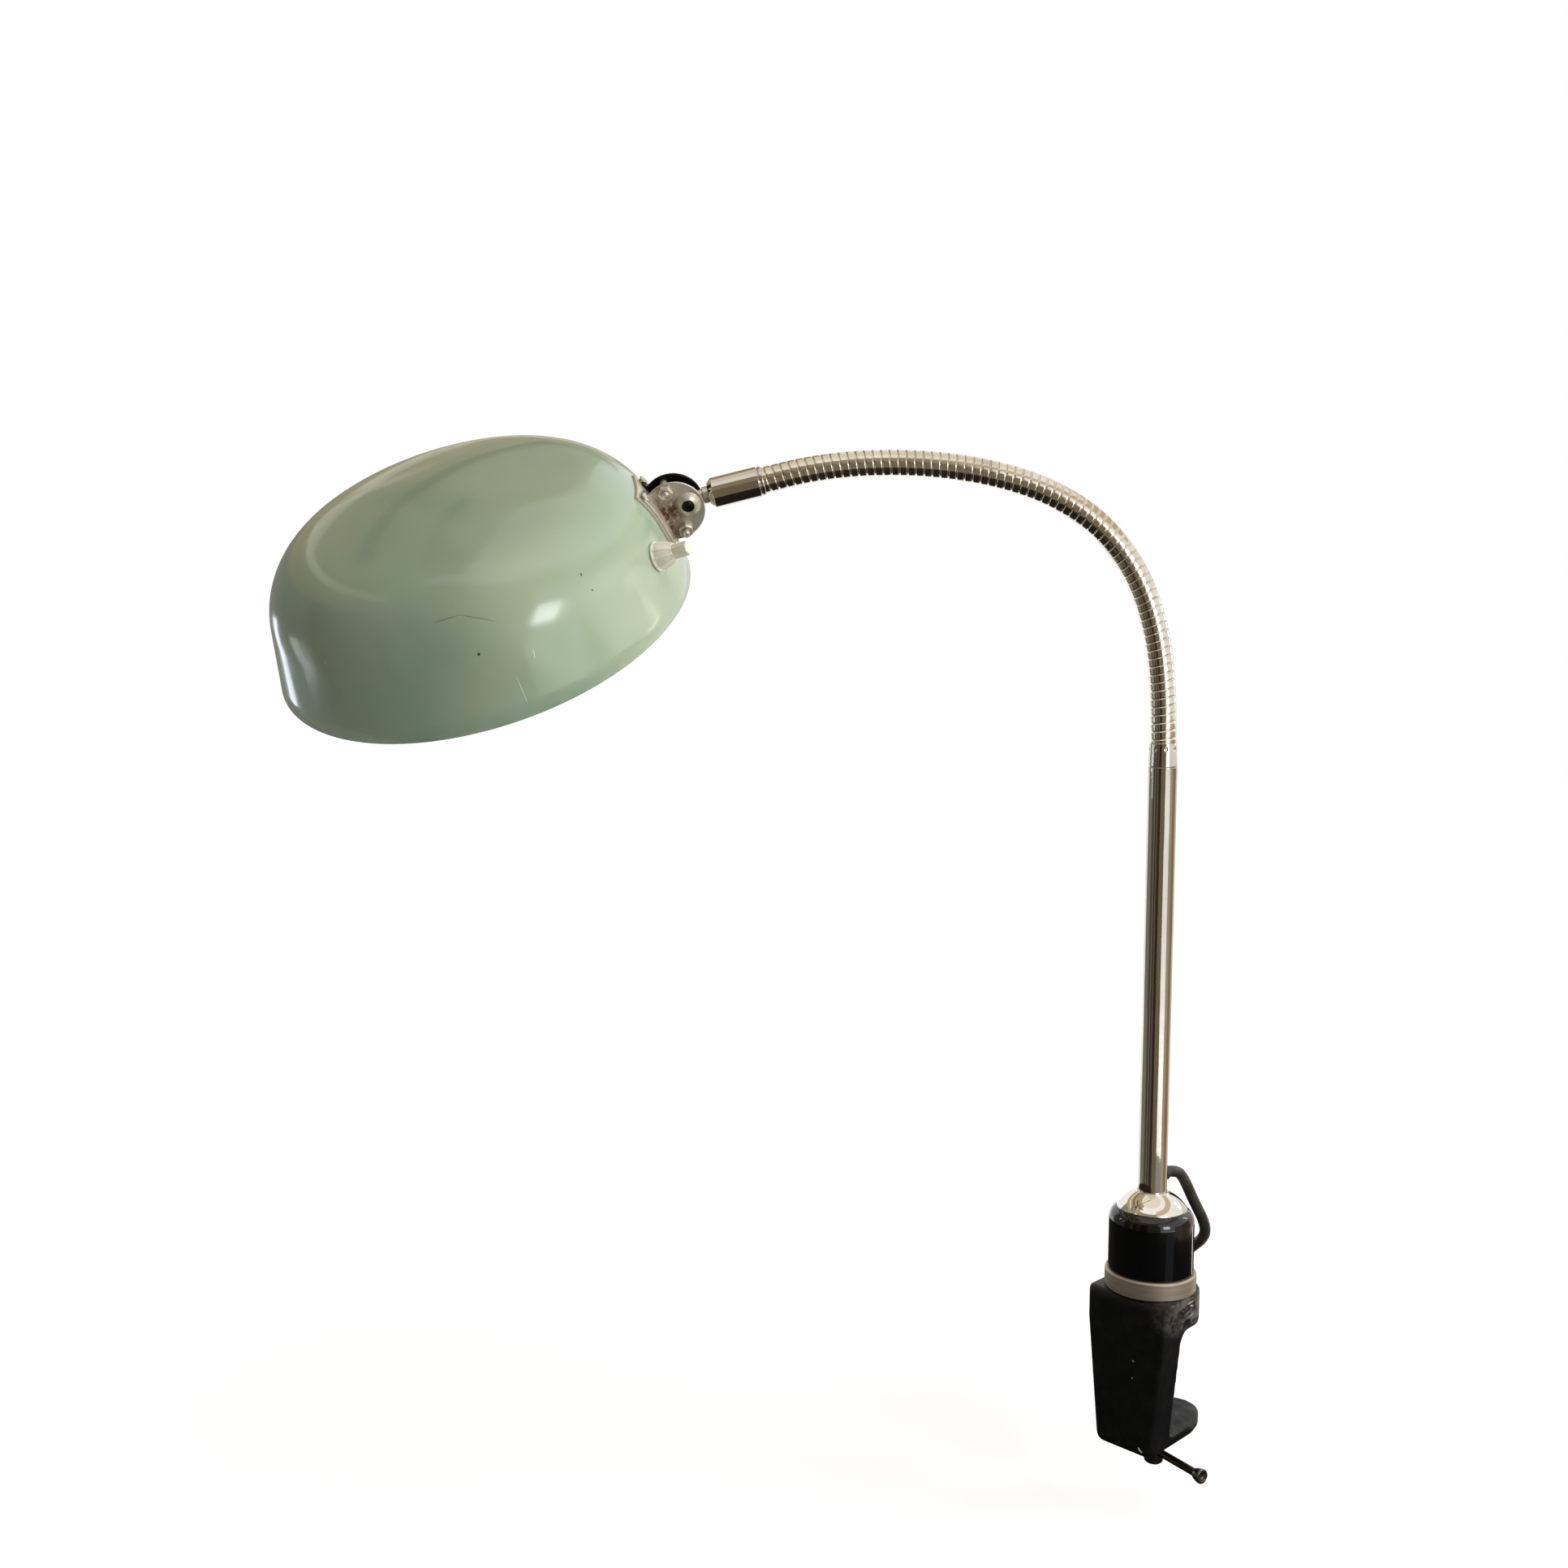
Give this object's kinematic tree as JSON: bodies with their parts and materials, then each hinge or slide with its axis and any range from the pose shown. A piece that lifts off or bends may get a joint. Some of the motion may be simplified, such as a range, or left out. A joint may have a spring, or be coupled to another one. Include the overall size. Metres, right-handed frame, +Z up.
{
  "type": "clamp-on gooseneck desk lamp",
  "caption": "Desk lamp with a table clamp, swivelling stem, flexible gooseneck and a round enamelled metal shade on a clamped ball joint with a push switch.",
  "frame": {"origin": "on the stem's axis, on the underside of the clamp's upper jaw, the face that rests on the table", "axes": "+Z up along the stem, +Y the way the clamp opens, onto the table"},
  "size_m": [0.3754, 0.4204, 0.5055],
  "materials": {
    "enamel_green": "gloss stove enamel, lightly scratched",
    "chrome_plate": "bright chrome plate",
    "nickel_plate": "aged nickel plate with light staining",
    "blackened_steel": "blackened, oily",
    "cast_iron_black": "black paint over rough casting, worn at the edges",
    "gloss_black": "gloss black enamel",
    "plain_steel": "turned steel",
    "ivory_plastic": "moulded, slightly yellowed",
    "button_plastic": "moulded, slightly yellowed",
    "holder_plastic": "dark moulded phenolic",
    "bulb_metal": "rolled thread",
    "opal_glass": "opal",
    "cord_rubber": "smooth black rubber",
    "plug_plastic": "moulded",
    "pin_brass": "turned brass"
  },
  "bodies": {
    "clamp": {"clamp_casting": "cast_iron_black", "base_ring": "nickel_plate", "pivot_stud": "plain_steel", "pivot_nut": "plain_steel", "spring_washer": "plain_steel"},
    "stem": {"base_body": "gloss_black", "swivel_plate": "plain_steel", "dome_cap": "chrome_plate", "stem_tube": "chrome_plate", "stem_nut": "plain_steel", "lower_ferrule": "chrome_plate", "cord_grommet": "cord_rubber", "cord_lead": "cord_rubber", "cord_coil": "cord_rubber", "cord_tie": "cord_rubber", "cord_tail": "cord_rubber", "plug_body": "plug_plastic", "plug_pins": "pin_brass"},
    "neck_01": {"neck_link_01": "chrome_plate"},
    "neck_02": {"neck_link_02": "chrome_plate"},
    "neck_03": {"neck_link_03": "chrome_plate"},
    "neck_04": {"neck_link_04": "chrome_plate"},
    "neck_05": {"neck_link_05": "chrome_plate"},
    "neck_06": {"neck_link_06": "chrome_plate"},
    "neck_07": {"neck_link_07": "chrome_plate"},
    "neck_08": {"neck_link_08": "chrome_plate"},
    "neck_09": {"neck_link_09": "chrome_plate"},
    "neck_10": {"neck_link_10": "chrome_plate", "upper_ferrule": "chrome_plate", "ball_stud": "chrome_plate"},
    "ball": {"joint_ball": "nickel_plate"},
    "head": {"shade": "enamel_green", "base_plate": "nickel_plate", "front_cheek": "nickel_plate", "rear_cheek": "blackened_steel", "joint_bolts": "nickel_plate", "joint_nuts": "nickel_plate", "shade_rivets": "nickel_plate", "lampholder": "holder_plastic", "bulb_cap": "bulb_metal", "bulb_glass": "opal_glass", "switch_body": "holder_plastic", "switch_collar": "ivory_plastic"},
    "button": {"switch_button": "button_plastic"},
    "shoe": {"screw_shoe": "plain_steel"},
    "screw": {"clamp_screw": "plain_steel"},
    "bar": {"tommy_bar": "plain_steel", "tommy_knobs": "plain_steel"}
  },
  "joints": [
    {"name": "stem_swivel", "type": "hinge", "parent": "clamp", "child": "stem", "pos_m": [0, 0, 0], "axis": [0, 0, 1], "range_deg": [-150, 150]},
    {"name": "neck_bend_01", "type": "hinge", "parent": "stem", "child": "neck_01", "pos_m": [0, 0, 0.278], "axis": [0.7071, -0.7071, 0], "range_deg": [-9, 2.5]},
    {"name": "neck_bend_02", "type": "hinge", "parent": "neck_01", "child": "neck_02", "pos_m": [-0.00035, -0.00035, 0.3065], "axis": [0.7071, -0.7071, 0], "range_deg": [-9, 2.5]},
    {"name": "neck_bend_03", "type": "hinge", "parent": "neck_02", "child": "neck_03", "pos_m": [-0.00316, -0.00316, 0.33472], "axis": [0.7071, -0.7071, 0], "range_deg": [-9, 2.5]},
    {"name": "neck_bend_04", "type": "hinge", "parent": "neck_03", "child": "neck_04", "pos_m": [-0.01005, -0.01005, 0.3615], "axis": [0.7071, -0.7071, 0], "range_deg": [-9, 2.5]},
    {"name": "neck_bend_05", "type": "hinge", "parent": "neck_04", "child": "neck_05", "pos_m": [-0.02246, -0.02246, 0.38396], "axis": [0.7071, -0.7071, 0], "range_deg": [-9, 2.5]},
    {"name": "neck_bend_06", "type": "hinge", "parent": "neck_05", "child": "neck_06", "pos_m": [-0.03955, -0.03955, 0.39906], "axis": [0.7071, -0.7071, 0], "range_deg": [-9, 2.5]},
    {"name": "neck_bend_07", "type": "hinge", "parent": "neck_06", "child": "neck_07", "pos_m": [-0.05882, -0.05882, 0.40739], "axis": [0.7071, -0.7071, 0], "range_deg": [-9, 2.5]},
    {"name": "neck_bend_08", "type": "hinge", "parent": "neck_07", "child": "neck_08", "pos_m": [-0.07877, -0.07877, 0.41136], "axis": [0.7071, -0.7071, 0], "range_deg": [-9, 2.5]},
    {"name": "neck_bend_09", "type": "hinge", "parent": "neck_08", "child": "neck_09", "pos_m": [-0.09892, -0.09892, 0.41186], "axis": [0.7071, -0.7071, 0], "range_deg": [-9, 2.5]},
    {"name": "neck_bend_10", "type": "hinge", "parent": "neck_09", "child": "neck_10", "pos_m": [-0.11897, -0.11897, 0.40888], "axis": [0.7071, -0.7071, 0], "range_deg": [-9, 2.5]},
    {"name": "shade_roll", "type": "hinge", "parent": "neck_10", "child": "ball", "pos_m": [-0.16097, -0.16097, 0.39374], "axis": [0.6852, 0.6852, 0.247], "range_deg": [-90, 90]},
    {"name": "shade_tilt", "type": "hinge", "parent": "ball", "child": "head", "pos_m": [-0.16097, -0.16097, 0.39374], "axis": [-0.6914, 0.5053, 0.5164], "range_deg": [-40, 50]},
    {"name": "button_press", "type": "slide", "parent": "head", "child": "button", "axis": [-0.9093, -0.341, -0.2385], "range_m": [0, 0.003], "stiffness_N_per_m": 400},
    {"name": "screw_advance", "type": "slide", "parent": "clamp", "child": "shoe", "axis": [0, 0, 1], "range_m": [-0.029, 0.002]},
    {"name": "screw_turn", "type": "hinge", "parent": "shoe", "child": "screw", "pos_m": [0, 0.007, -0.06], "axis": [0, 0, 1], "range_deg": [-5220, 360]},
    {"name": "bar_slide", "type": "slide", "parent": "screw", "child": "bar", "axis": [0.9744, -0.225, 0], "range_m": [-0.0225, 0.0225]}
  ],
  "couplings": [
    {"joint": "screw_advance", "follows": "screw_turn", "m_per_rad": 0.00031831}
  ]
}
